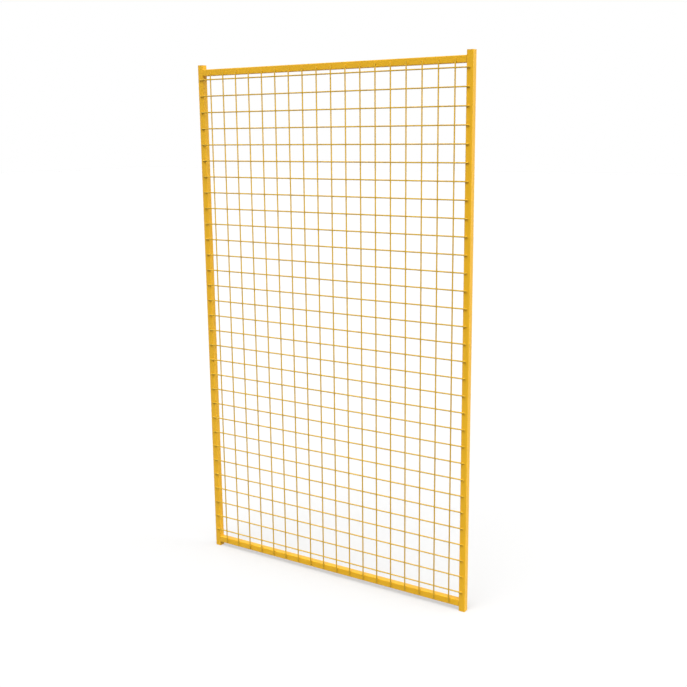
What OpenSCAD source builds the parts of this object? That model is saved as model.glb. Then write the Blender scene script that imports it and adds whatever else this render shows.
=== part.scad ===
// Machine guard fence panel: a welded frame of square tube that carries a sheet of welded wire mesh.
// Millimetres, +Z up. The origin is the middle of the left post's foot. +X runs along the panel to the
// right post, and -Y is the side that the mesh is welded to.

/* [Panel] */
// Width over the outer sides of the two posts
panel_w = 954; // [500:1:1000]
// Height from the feet to the tops of the posts
panel_h = 1606; // [800:1:1700]

/* [Frame] */
// Side of the square tube that the posts and the rails are cut from
tube_side = 20; // [18:0.5:24]
// Wall thickness of the tube
tube_wall = 1.5; // [1:0.1:1.8]
// Outer corner radius of the tube
tube_corner_r = 2; // [1.9:0.1:2.6]
// How far the posts run on past the rails, at the foot and at the top
post_overrun = 13.5; // [6:0.5:40]
// Thickness of the plates that close the ends of the posts
cap_t = 2; // [1:0.5:4]
// Leg of the fillet welds above and below each end of a rail
weld_leg = 2; // [1:0.5:4]

/* [Mesh] */
// Distance between the centres of neighbouring wires
mesh_pitch = 50; // [45:1:70]
// Diameter of the mesh wire
wire_d = 4; // [3:0.1:5]
// Height of the top rail above the highest cross wire
top_gap = 11.5; // [5:0.5:30]
// Least distance between the bottom rail and the lowest cross wire
least_bottom_gap = 8; // [4:0.5:20]
// Least distance between a post and the nearest upright wire
least_side_gap = 12; // [4:0.5:20]
// How far the cross wires lap over the front of each post
post_lap = 11.5; // [5:0.5:15]
// How far the upright wires lap over the front of the top rail
top_rail_lap = 11; // [3:0.5:14]
// How far the upright wires lap over the front of the bottom rail
bottom_rail_lap = 12.5; // [3:0.5:14]

/* [Hidden] */

$fn = 48;
wire_sides = 8;
mesh_bands = 4;
guard_yellow = [0.88, 0.66, 0.10];

post_spacing = panel_w - tube_side;
post_inner = tube_side / 2;
frame_front = -tube_side / 2;
rail_length = post_spacing - tube_side;
bottom_rail_z = post_overrun;
top_rail_z = panel_h - post_overrun - tube_side;

// Posts and rails share one front face. Every wire of the mesh lies against it, in one layer, and the
// wires pass through each other where they are welded.
wire_y = frame_front - wire_d / 2;

// The sheet of mesh hangs from the top rail, centred between the posts.
opening_h = top_rail_z - bottom_rail_z - tube_side;
mesh_columns = floor((rail_length - 2 * least_side_gap) / mesh_pitch);
mesh_rows = floor((opening_h - top_gap - least_bottom_gap) / mesh_pitch);
first_upright_x = (post_spacing - mesh_columns * mesh_pitch) / 2;
highest_cross_z = top_rail_z - top_gap;
cross_wire_ends = [post_inner - post_lap, post_spacing - post_inner + post_lap];
upright_wire_ends = [bottom_rail_z + tube_side - bottom_rail_lap, top_rail_z + top_rail_lap];

// Height of cross wire number row, counted down from the top
function cross_z(row) = highest_cross_z - row * mesh_pitch;
// First cross wire of a band of the mesh, counted down from the top
function band_start(band) = round(band * (mesh_rows + 1) / mesh_bands);
// Height at which a band of the mesh begins, midway between two cross wires
function band_top(band) =
    band == 0 ? upright_wire_ends[1]
    : band == mesh_bands ? upright_wire_ends[0]
    : cross_z(band_start(band) - 0.5);

// A square with round corners, centred on the origin
module rounded_square(side, corner) {
    square([side - 2 * corner, side], center = true);
    square([side, side - 2 * corner], center = true);
    for (x = [-1, 1], y = [-1, 1])
        translate([x * (side / 2 - corner), y * (side / 2 - corner)]) circle(r = corner);
}

// A length of hollow tube standing on the XY plane
module tube(length) {
    linear_extrude(length) difference() {
        rounded_square(tube_side, tube_corner_r);
        rounded_square(tube_side - 2 * tube_wall, tube_corner_r - tube_wall);
    }
}

module post(x) {
    color(guard_yellow) translate([x, 0, cap_t]) tube(panel_h - 2 * cap_t);
}

// Plate that closes one end of a post
module post_cap(x, z) {
    color(guard_yellow) translate([x, 0, z])
        linear_extrude(cap_t) rounded_square(tube_side, tube_corner_r);
}

module rail(z) {
    color(guard_yellow) translate([post_inner, 0, z + tube_side / 2])
        rotate([0, 90, 0]) tube(rail_length);
}

// Fillet welds above and below the end of a rail; side is 1 at the left post and -1 at the right post
module rail_weld(x, z, side) {
    bead_length = tube_side - 2 * tube_corner_r;
    color(guard_yellow) translate([x + side * post_inner, bead_length / 2, z + tube_side / 2])
        for (up = [-1, 1]) translate([0, 0, up * tube_side / 2])
            rotate([90, 0, 0]) linear_extrude(bead_length)
                polygon([[0, 0], [side * weld_leg, 0], [0, up * weld_leg]]);
}

// A straight wire standing on the XY plane, with a flat side towards -Y
module wire(length) {
    rotate(180 / wire_sides)
        cylinder(d = wire_d / cos(180 / wire_sides), h = length, $fn = wire_sides);
}

// One band of the welded mesh, with its cross wires fused to its share of the upright wires
module mesh_band(band) {
    cross_wire_length = cross_wire_ends[1] - cross_wire_ends[0];
    color(guard_yellow) union() {
        for (row = [band_start(band) : band_start(band + 1) - 1])
            translate([cross_wire_ends[0], wire_y, cross_z(row)])
                rotate([0, 90, 0]) wire(cross_wire_length);
        for (column = [0 : mesh_columns])
            translate([first_upright_x + column * mesh_pitch, wire_y, band_top(band + 1)])
                wire(band_top(band) - band_top(band + 1));
    }
}

module left_post() { post(0); }
module left_post_top_cap() { post_cap(0, panel_h - cap_t); }
module left_post_foot_cap() { post_cap(0, 0); }
module right_post() { post(post_spacing); }
module right_post_top_cap() { post_cap(post_spacing, panel_h - cap_t); }
module right_post_foot_cap() { post_cap(post_spacing, 0); }
module top_rail() { rail(top_rail_z); }
module bottom_rail() { rail(bottom_rail_z); }
module top_left_weld() { rail_weld(0, top_rail_z, 1); }
module top_right_weld() { rail_weld(post_spacing, top_rail_z, -1); }
module bottom_left_weld() { rail_weld(0, bottom_rail_z, 1); }
module bottom_right_weld() { rail_weld(post_spacing, bottom_rail_z, -1); }
module mesh_top() { mesh_band(0); }
module mesh_upper_middle() { mesh_band(1); }
module mesh_lower_middle() { mesh_band(2); }
module mesh_bottom() { mesh_band(3); }

left_post();
left_post_top_cap();
left_post_foot_cap();
right_post();
right_post_top_cap();
right_post_foot_cap();
top_rail();
bottom_rail();
top_left_weld();
top_right_weld();
bottom_left_weld();
bottom_right_weld();
mesh_top();
mesh_upper_middle();
mesh_lower_middle();
mesh_bottom();
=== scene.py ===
from math import radians

import bmesh
import bpy
import numpy as np
from mathutils import Euler, Matrix, Vector


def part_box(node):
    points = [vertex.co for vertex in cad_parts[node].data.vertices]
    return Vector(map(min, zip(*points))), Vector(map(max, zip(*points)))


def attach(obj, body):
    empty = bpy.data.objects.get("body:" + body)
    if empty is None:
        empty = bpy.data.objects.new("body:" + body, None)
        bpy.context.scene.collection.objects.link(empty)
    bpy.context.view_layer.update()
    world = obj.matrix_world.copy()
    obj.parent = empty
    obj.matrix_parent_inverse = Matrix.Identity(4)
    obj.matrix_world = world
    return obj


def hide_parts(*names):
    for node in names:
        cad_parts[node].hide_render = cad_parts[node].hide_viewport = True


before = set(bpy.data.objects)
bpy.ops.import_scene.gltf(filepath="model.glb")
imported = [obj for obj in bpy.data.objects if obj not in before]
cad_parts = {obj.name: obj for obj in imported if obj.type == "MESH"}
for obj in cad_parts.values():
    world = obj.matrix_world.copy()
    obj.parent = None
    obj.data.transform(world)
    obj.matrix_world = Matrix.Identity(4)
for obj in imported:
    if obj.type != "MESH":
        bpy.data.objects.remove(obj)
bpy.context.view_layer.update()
MM = 0.001


# Camera -------------------------------------------------------------------------------------------

def place_camera(stand, lens, turn, down, lean):
    """Camera at the place stand. From looking along +Y it turns left, tips down and leans clockwise."""
    data = bpy.data.cameras.new("camera")
    data.lens = lens
    data.sensor_width = 36.0
    data.clip_end = 60.0
    camera = bpy.data.objects.new("camera", data)
    facing = Euler((0, 0, turn)).to_matrix() @ Euler((radians(90) - down, 0, 0)).to_matrix()
    facing = facing @ Euler((0, 0, -lean)).to_matrix()
    camera.matrix_world = Matrix.Translation(stand) @ facing.to_4x4()
    bpy.context.scene.collection.objects.link(camera)
    bpy.context.scene.camera = camera


BEFORE_RIGHT_END = (2.13056, -2.47342, 1.39062)
place_camera(BEFORE_RIGHT_END, lens=51.998,
             turn=radians(33.0746), down=radians(11.9221), lean=radians(0.5959))


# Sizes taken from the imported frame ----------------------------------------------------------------

def low(node):
    return Vector(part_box(node)[0])


def high(node):
    return Vector(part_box(node)[1])


MESH_NODES = ["mesh_top", "mesh_upper_middle", "mesh_lower_middle", "mesh_bottom"]
WELD_NODES = {"top_left_weld": ("top_rail", 1), "top_right_weld": ("top_rail", -1),
              "bottom_left_weld": ("bottom_rail", 1), "bottom_right_weld": ("bottom_rail", -1)}
PITCH = 50 * MM              # between the centres of neighbouring wires
TOP_GAP = 11.5 * MM          # from the top rail to the highest cross wire
LEAST_BOTTOM_GAP = 8 * MM    # from the bottom rail to the lowest cross wire
LEAST_SIDE_GAP = 12 * MM     # from a post to the nearest upright wire

sheet_low = np.min([low(node) for node in MESH_NODES], axis=0)
sheet_high = np.max([high(node) for node in MESH_NODES], axis=0)
frame_front = sheet_high[1]
wire_r = (sheet_high[1] - sheet_low[1]) / 2
wire_y = (sheet_high[1] + sheet_low[1]) / 2
inner_left, inner_right = high("left_post").x, low("right_post").x
opening_top, opening_bottom = low("top_rail").z, high("bottom_rail").z

columns = int((inner_right - inner_left - 2 * LEAST_SIDE_GAP) / PITCH)
rows = int((opening_top - opening_bottom - TOP_GAP - LEAST_BOTTOM_GAP) / PITCH)
upright_x = (inner_left + inner_right) / 2 + (np.arange(columns + 1) - columns / 2) * PITCH
cross_z = opening_top - TOP_GAP - np.arange(rows + 1) * PITCH


# Shared shapes ------------------------------------------------------------------------------------

SAME_PLACE = 2e-6      # points nearer than this are merged
NO_LENGTH = 1e-7       # edges shorter than this are taken out


def closed_strings(name, points, material):
    """One smooth piece from many like strings of rings: points[copy, ring, step] is a place.

    Neighbouring rings and steps make quads, and the steps of a ring close on themselves. The first and the
    last ring of a string lie in one point, so each string is a closed surface. Points that share a place
    are merged and every face is turned outwards.
    """
    copies, rings, steps = points.shape[:3]
    copy = np.arange(copies)[:, None, None] * rings * steps
    ring = np.arange(rings - 1)[None, :, None] * steps
    step = np.arange(steps)[None, None, :]
    following = (step + 1) % steps
    quads = np.stack([copy + ring + step, copy + ring + following,
                      copy + ring + steps + following, copy + ring + steps + step], axis=-1)
    mesh = bpy.data.meshes.new(name)
    mesh.from_pydata(points.reshape(-1, 3).tolist(), [], quads.reshape(-1, 4).tolist())
    work = bmesh.new()
    work.from_mesh(mesh)
    bmesh.ops.remove_doubles(work, verts=work.verts, dist=SAME_PLACE)
    bmesh.ops.dissolve_degenerate(work, dist=NO_LENGTH, edges=work.edges)
    bmesh.ops.recalc_face_normals(work, faces=work.faces)
    work.to_mesh(mesh)
    work.free()
    mesh.polygons.foreach_set("use_smooth", np.ones(len(mesh.polygons), dtype=bool))
    mesh.materials.append(material)
    piece = bpy.data.objects.new(name, mesh)
    bpy.context.scene.collection.objects.link(piece)
    return piece


def round_wires(name, starts, ends, across, radius, material, sides=14, edge_share=0.3, edge_steps=4):
    """Straight round wires whose cut ends have a softened edge, edge_share of the radius wide.

    A place on a wire is p + s d + q (u cos a + v sin a): p is its start or its end, d runs along it towards
    its middle, u and v stand square to it, and a goes once round. The distance s and the radius q go through
    the middle of the end, its flat part and a quarter round of edge, and then to the other end of the wire.
    """
    edge = edge_share * radius
    turn = np.linspace(0, np.pi / 2, edge_steps)
    inward = np.concatenate([[0], edge * (1 - np.cos(turn))])
    reach = np.concatenate([[0], radius - edge * (1 - np.sin(turn))])
    starts, ends = np.asarray(starts, float), np.asarray(ends, float)
    along = (ends - starts) / np.linalg.norm(ends - starts, axis=1, keepdims=True)
    first = np.broadcast_to(np.asarray(across, float), along.shape)
    second = np.cross(along, first)
    angle = np.linspace(0, 2 * np.pi, sides, endpoint=False)[:, None]
    circle = np.cos(angle) * first[:, None, :] + np.sin(angle) * second[:, None, :]
    centres = np.concatenate([starts[:, None, :] + inward[None, :, None] * along[:, None, :],
                              ends[:, None, :] - inward[None, ::-1, None] * along[:, None, :]], axis=1)
    size = np.concatenate([reach, reach[::-1]])
    points = centres[:, :, None, :] + size[None, :, None, None] * circle[:, None, :, :]
    return closed_strings(name, points, material)


def lumps(name, places, half_size, material, rings=7, steps=10):
    """Flattened balls of the given half size (a, b, c) about each place p.

    A point is p + (a sin t cos w, b cos t, c sin t sin w), for t from pole to pole and w once round.
    """
    t = np.linspace(0, np.pi, rings)[:, None]
    w = np.linspace(0, 2 * np.pi, steps, endpoint=False)[None, :]
    ball = np.stack([half_size[0] * np.sin(t) * np.cos(w), half_size[1] * np.cos(t) * np.ones_like(w),
                     half_size[2] * np.sin(t) * np.sin(w)], axis=-1)
    return closed_strings(name, np.asarray(places, float)[:, None, None, :] + ball[None], material)


BEAD_RIPPLE = 1.5 * MM        # from one ripple of a bead to the next
BEAD_RIPPLE_DEPTH = 0.16      # share of the bead's height
BEAD_RUN_OUT = 2.5 * MM       # length over which a bead falls to nothing at each end


def rippled_beads(name, corners, legs, half_length, material, rings=97, arc=7):
    """Fillet weld beads that run front to back in the corners between a rail and a post.

    At the distance y from the middle of a bead, its section is the corner itself and an arc from one leg
    to the other. The arc is (g cos a, g sin a) with g = h (1 - k (1 - |sin(pi y / ripple)|)), for a from 0
    to 90 degrees. The height h is that of an ellipse near both ends, where it falls to nothing, and k is
    the depth of the ripples.
    """
    y = np.linspace(-half_length, half_length, rings)
    taper = np.clip((np.abs(y) - half_length + BEAD_RUN_OUT) / BEAD_RUN_OUT, 0, 1)
    ripples = BEAD_RIPPLE_DEPTH * (1 - np.abs(np.sin(np.pi * y / BEAD_RIPPLE)))
    height = np.sqrt(1 - taper ** 2) * (1 - ripples)
    angle = np.linspace(0, np.pi / 2, arc)
    section = np.concatenate([[[0, 0]], np.stack([np.cos(angle), np.sin(angle)], axis=-1)])
    points = np.empty((len(corners), rings, arc + 1, 3))
    spread = np.asarray(legs, float)[:, None, None, :] * (height[:, None, None] * section[None])[None]
    corners = np.asarray(corners, float)
    points[..., 0] = corners[:, None, None, 0] + spread[..., 0]
    points[..., 1] = corners[:, None, None, 1] + y[None, :, None]
    points[..., 2] = corners[:, None, None, 2] + spread[..., 1]
    return closed_strings(name, points, material)


# Materials ----------------------------------------------------------------------------------------

PATCHINESS = 9.0              # patches of tone and gloss, per metre
DARKEST, LIGHTEST = 0.975, 1.02
GLOSSIEST, DULLEST = 0.46, 0.56
SKIN_DEPTH = 0.1 * MM


def powder_coat(name, shade, grain, shine, bloom):
    """Semi-gloss powder coat: a fine orange-peel skin, faint changes of tone and gloss, and a pale bloom.

    The grain is the fineness of the skin, the shine is how strongly it mirrors, and the bloom is how much
    paler the coat looks along its surface.
    """
    made = bpy.data.materials.new(name)
    made.use_nodes = True
    nodes, links = made.node_tree.nodes, made.node_tree.links
    shader = nodes["Principled BSDF"]
    shader.inputs["Specular IOR Level"].default_value = shine
    shader.inputs["Sheen Weight"].default_value = bloom
    shader.inputs["Sheen Roughness"].default_value = 0.4
    place = nodes.new("ShaderNodeTexCoord")

    tone = nodes.new("ShaderNodeTexNoise")
    tone.inputs["Scale"].default_value = PATCHINESS
    tone.inputs["Detail"].default_value = 4.0
    tint = nodes.new("ShaderNodeValToRGB")
    tint.color_ramp.elements[0].position = 0.35
    tint.color_ramp.elements[1].position = 0.65
    tint.color_ramp.elements[0].color = (*[c * DARKEST for c in shade], 1)
    tint.color_ramp.elements[1].color = (*[min(1.0, c * LIGHTEST) for c in shade], 1)
    links.new(place.outputs["Object"], tone.inputs["Vector"])
    links.new(tone.outputs["Fac"], tint.inputs["Fac"])
    links.new(tint.outputs["Color"], shader.inputs["Base Color"])

    gloss = nodes.new("ShaderNodeMapRange")
    gloss.inputs["To Min"].default_value = GLOSSIEST
    gloss.inputs["To Max"].default_value = DULLEST
    links.new(tone.outputs["Fac"], gloss.inputs["Value"])
    links.new(gloss.outputs["Result"], shader.inputs["Roughness"])

    peel = nodes.new("ShaderNodeTexNoise")
    peel.inputs["Scale"].default_value = grain
    peel.inputs["Detail"].default_value = 2.0
    links.new(place.outputs["Object"], peel.inputs["Vector"])
    skin = nodes.new("ShaderNodeBump")
    skin.inputs["Strength"].default_value = 0.2
    skin.inputs["Distance"].default_value = SKIN_DEPTH
    links.new(peel.outputs["Fac"], skin.inputs["Height"])
    links.new(skin.outputs["Normal"], shader.inputs["Normal"])
    return made


YELLOW = (0.757, 0.41, 0.003)
# The wires' yellow is the tube's yellow made darker. This is painted shade that makes the thin round wires,
# and the shadows under their ends, look darker than the flat tube faces, though the wires wear the same
# coat.
WIRE_YELLOW_WITH_PAINTED_SHADE = (0.595, 0.363, 0.02)
COAT_ON_TUBE = powder_coat("powder_coat_on_tube", YELLOW, grain=650, shine=0.4, bloom=0.25)
COAT_ON_WIRE = powder_coat("powder_coat_on_wire_with_painted_shade", WIRE_YELLOW_WITH_PAINTED_SHADE, grain=900, shine=0.25, bloom=0.05)

for name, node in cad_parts.items():
    if name not in MESH_NODES:
        for place in node.material_slots:
            place.material = COAT_ON_TUBE


# Welded mesh --------------------------------------------------------------------------------------

def dress(piece, slot, *nodes):
    """Ties a piece to the one body and shows it in place of the named nodes. The slot is not used."""
    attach(piece, "root")
    if nodes:
        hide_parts(*nodes)


def spots(x, y, z):
    """Every place with one of the given x and one of the given z."""
    x, z = np.meshgrid(x, z)
    return np.stack([x.ravel(), np.full(x.size, y), z.ravel()], axis=-1)


NUGGET = (1.62 * wire_r, 0.97 * wire_r, 1.62 * wire_r)      # half its width, depth and height
TACK_REACH = 5 * MM                                         # from a wire's cut end to the middle of its tack
TACK_LONG, TACK_DEEP, TACK_WIDE = 4.0 * MM, 0.7 * MM, 2.3 * MM      # half sizes, along and across the wire

cross = round_wires("cross_wires", spots(sheet_low[0], wire_y, cross_z),
                    spots(sheet_high[0], wire_y, cross_z), (0, 1, 0), wire_r, COAT_ON_WIRE)
upright = round_wires("upright_wires", spots(upright_x, wire_y, sheet_low[2]),
                      spots(upright_x, wire_y, sheet_high[2]), (1, 0, 0), wire_r, COAT_ON_WIRE)
nuggets = lumps("weld_nuggets", spots(upright_x, wire_y, cross_z), NUGGET, COAT_ON_WIRE)
dress(cross, "coated_wire", *MESH_NODES)
dress(upright, "coated_wire", *MESH_NODES)
dress(nuggets, "coated_wire")

post_tacks = lumps("wire_tacks_on_posts",
                   spots([sheet_low[0] + TACK_REACH, sheet_high[0] - TACK_REACH], frame_front, cross_z),
                   (TACK_LONG, TACK_DEEP, TACK_WIDE), COAT_ON_WIRE)
rail_tacks = lumps("wire_tacks_on_rails",
                   spots(upright_x, frame_front, [sheet_low[2] + TACK_REACH, sheet_high[2] - TACK_REACH]),
                   (TACK_WIDE, TACK_DEEP, TACK_LONG), COAT_ON_WIRE)
dress(post_tacks, "coated_wire")
dress(rail_tacks, "coated_wire")

for weld, (rail, side) in WELD_NODES.items():
    corner_x = inner_left if side > 0 else inner_right
    middle_y = (low(weld).y + high(weld).y) / 2
    leg = high(weld).x - low(weld).x
    beads = rippled_beads(
        weld.replace("weld", "beads"),
        [(corner_x, middle_y, high(rail).z), (corner_x, middle_y, low(rail).z)],
        [(side * leg, leg), (side * leg, -leg)],
        (high(weld).y - low(weld).y) / 2, COAT_ON_TUBE)
    dress(beads, "coated_tube", weld)


# Floor and light ----------------------------------------------------------------------------------

def seen_directly(nodes, links):
    """1 where the camera, a reflection or a transmission looks at the surface, else 0."""
    path = nodes.new("ShaderNodeLightPath")
    first = nodes.new("ShaderNodeMath")
    first.operation = "MAXIMUM"
    links.new(path.outputs["Is Camera Ray"], first.inputs[0])
    links.new(path.outputs["Is Glossy Ray"], first.inputs[1])
    both = nodes.new("ShaderNodeMath")
    both.operation = "MAXIMUM"
    links.new(first.outputs[0], both.inputs[0])
    links.new(path.outputs["Is Transmission Ray"], both.inputs[1])
    return both


FLOOR_REACH = 30.0
FLOOR_GREY_SEEN = 0.34        # share of its light that the floor gives back where it is looked at
FLOOR_GREY_UNSEEN = 0.25      # and where it only lights the part from below
FLOOR_GLOW = 0.40             # what it gives off where it is looked at, so that only shadows are grey


def pale_floor():
    """Wide floor that is white where it is looked at, and keeps the soft shadow under the part."""
    mesh = bpy.data.meshes.new("floor")
    reach = FLOOR_REACH
    corners = [(-reach, -reach, 0), (reach, -reach, 0), (reach, reach, 0), (-reach, reach, 0)]
    mesh.from_pydata(corners, [], [(0, 1, 2, 3)])
    floor = bpy.data.objects.new("floor", mesh)
    bpy.context.scene.collection.objects.link(floor)
    paint = bpy.data.materials.new("floor_white")
    paint.use_nodes = True
    nodes, links = paint.node_tree.nodes, paint.node_tree.links
    shader = nodes["Principled BSDF"]
    shader.inputs["Roughness"].default_value = 0.9
    shader.inputs["Specular IOR Level"].default_value = 0.0
    glow = nodes.new("ShaderNodeEmission")
    glow.inputs["Color"].default_value = (1, 1, 1, 1)
    lift = nodes.new("ShaderNodeMath")
    lift.operation = "MULTIPLY"
    lift.inputs[1].default_value = FLOOR_GLOW
    seen = seen_directly(nodes, links).outputs[0]
    links.new(seen, lift.inputs[0])
    links.new(lift.outputs[0], glow.inputs["Strength"])
    grey = nodes.new("ShaderNodeMapRange")
    grey.inputs["To Min"].default_value = FLOOR_GREY_UNSEEN
    grey.inputs["To Max"].default_value = FLOOR_GREY_SEEN
    links.new(seen, grey.inputs["Value"])
    links.new(grey.outputs["Result"], shader.inputs["Base Color"])
    both = nodes.new("ShaderNodeAddShader")
    links.new(shader.outputs[0], both.inputs[0])
    links.new(glow.outputs[0], both.inputs[1])
    links.new(both.outputs[0], nodes["Material Output"].inputs["Surface"])
    mesh.materials.append(paint)


def white_room(even, patches):
    """World that is white where it is looked at and lights the part softly from all round.

    The light is an even grey and wide patches: strength x cos(angle from the patch's middle) ^ sharpness.
    A patch is given by its strength, its sharpness and the direction of its middle.
    """
    world = bpy.data.worlds.new("room")
    bpy.context.scene.world = world
    world.use_nodes = True
    nodes, links = world.node_tree.nodes, world.node_tree.links
    place = nodes.new("ShaderNodeTexCoord")

    def worked_out(operation, first, second):
        made = nodes.new("ShaderNodeMath")
        made.operation = operation
        for socket, value in zip(made.inputs, (first, second)):
            if isinstance(value, float):
                socket.default_value = value
            else:
                links.new(value, socket)
        return made.outputs[0]

    total = even
    for strength, sharpness, middle in patches:
        cosine = nodes.new("ShaderNodeVectorMath")
        cosine.operation = "DOT_PRODUCT"
        cosine.inputs[1].default_value = Vector(middle).normalized()
        links.new(place.outputs["Generated"], cosine.inputs[0])
        patch = worked_out("POWER", worked_out("MAXIMUM", cosine.outputs["Value"], 0.0), sharpness)
        total = worked_out("ADD", worked_out("MULTIPLY", patch, strength), total)
    span = nodes.new("ShaderNodeMapRange")
    span.inputs["To Max"].default_value = 1.0
    links.new(seen_directly(nodes, links).outputs[0], span.inputs["Value"])
    links.new(total, span.inputs["To Min"])
    background = nodes["Background"]
    background.inputs["Color"].default_value = (1, 1, 1, 1)
    links.new(span.outputs["Result"], background.inputs["Strength"])


EVEN_LIGHT = 0.03
LIGHT_FROM = {"above the front": (10.2, 16.0, (0, -0.5, 0.86)),
              "behind": (1.8, 8.0, (0, 1, 0.1)),
              "the right": (5.3, 8.0, (0.8, 0.1, 0.54)),
              "the left": (2.5, 8.0, (-0.85, 0.1, 0.36))}

pale_floor()
white_room(EVEN_LIGHT, LIGHT_FROM.values())

bpy.context.scene.view_settings.view_transform = "Standard"
